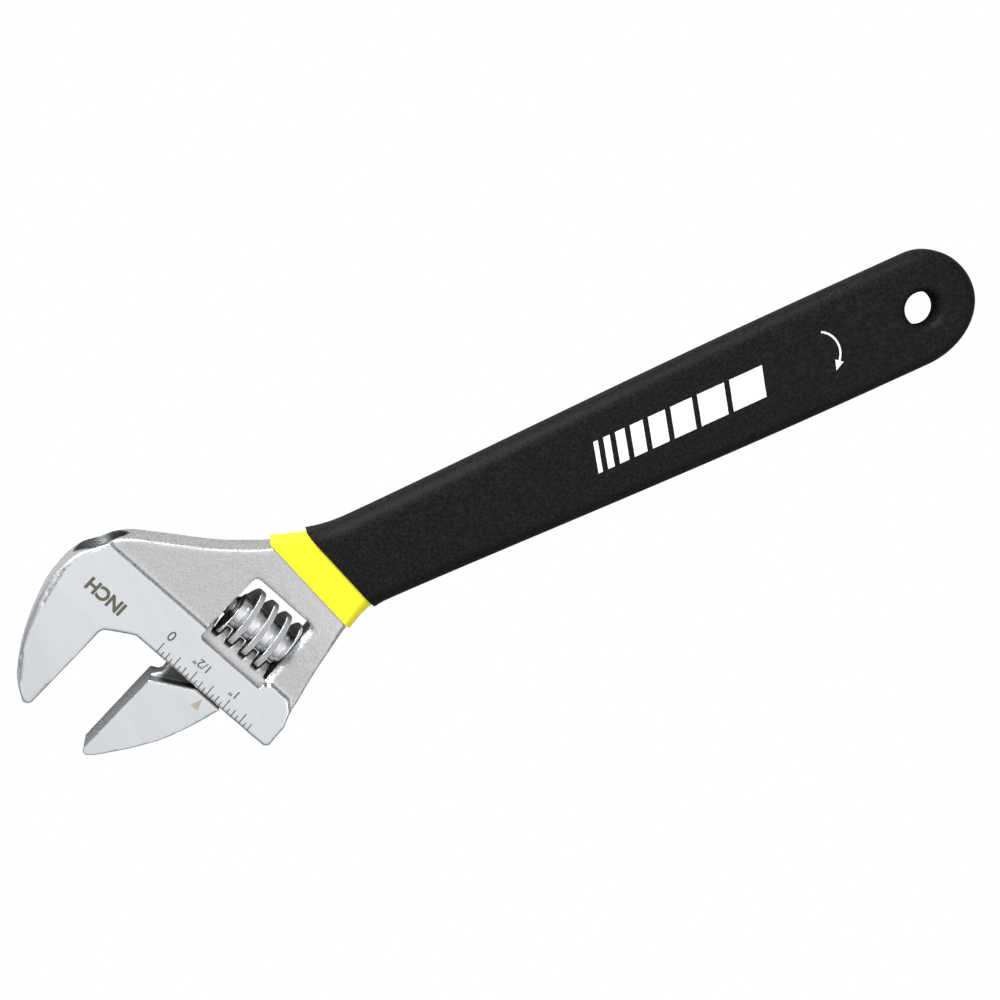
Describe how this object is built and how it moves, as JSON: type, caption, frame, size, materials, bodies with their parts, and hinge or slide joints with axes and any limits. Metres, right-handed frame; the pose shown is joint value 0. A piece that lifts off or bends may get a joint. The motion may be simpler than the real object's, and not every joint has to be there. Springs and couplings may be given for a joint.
{
  "type": "adjustable wrench",
  "caption": "Open-ended adjustable wrench with a worm-driven sliding jaw, forged head, flat shank and dipped grip with a hanging hole.",
  "frame": {"origin": "middle of the underside of the bounding box, with the wrench lying on its back", "axes": "+X along the handle from the head to the butt, +Y across it toward the fixed jaw's side, +Z out of the front face with the worm's axis in the mid-plane"},
  "size_m": [0.301, 0.0752, 0.0178],
  "materials": {
    "forging_chrome": "satin chrome over a blasted forging, with ground plates on both faces",
    "worm_chrome": "bright chrome, knurled crests",
    "pin_steel": "turned steel",
    "spring_steel": "drawn spring wire",
    "yellow_vinyl": "smooth dipped vinyl",
    "black_vinyl": "fine-grained dipped vinyl"
  },
  "bodies": {
    "frame": {"forged_body": "forging_chrome", "worm_pin": "pin_steel", "worm_spring": "spring_steel", "yellow_undercoat": "yellow_vinyl", "black_grip": "black_vinyl"},
    "worm": {"worm_knurl": "worm_chrome"},
    "jaw": {"movable_jaw": "forging_chrome"}
  },
  "joints": [
    {"name": "worm_spin", "type": "hinge", "parent": "frame", "child": "worm", "pos_m": [-0.08111, -0.00616, 0.0089], "axis": [0.3827, -0.9239, 0], "range_deg": [-1058, 1390]},
    {"name": "jaw_slide", "type": "slide", "parent": "frame", "child": "jaw", "axis": [0.3827, -0.9239, 0], "range_m": [-0.0197, 0.015]}
  ],
  "couplings": [
    {"joint": "jaw_slide", "follows": "worm_spin", "m_per_rad": -0.00081169}
  ]
}
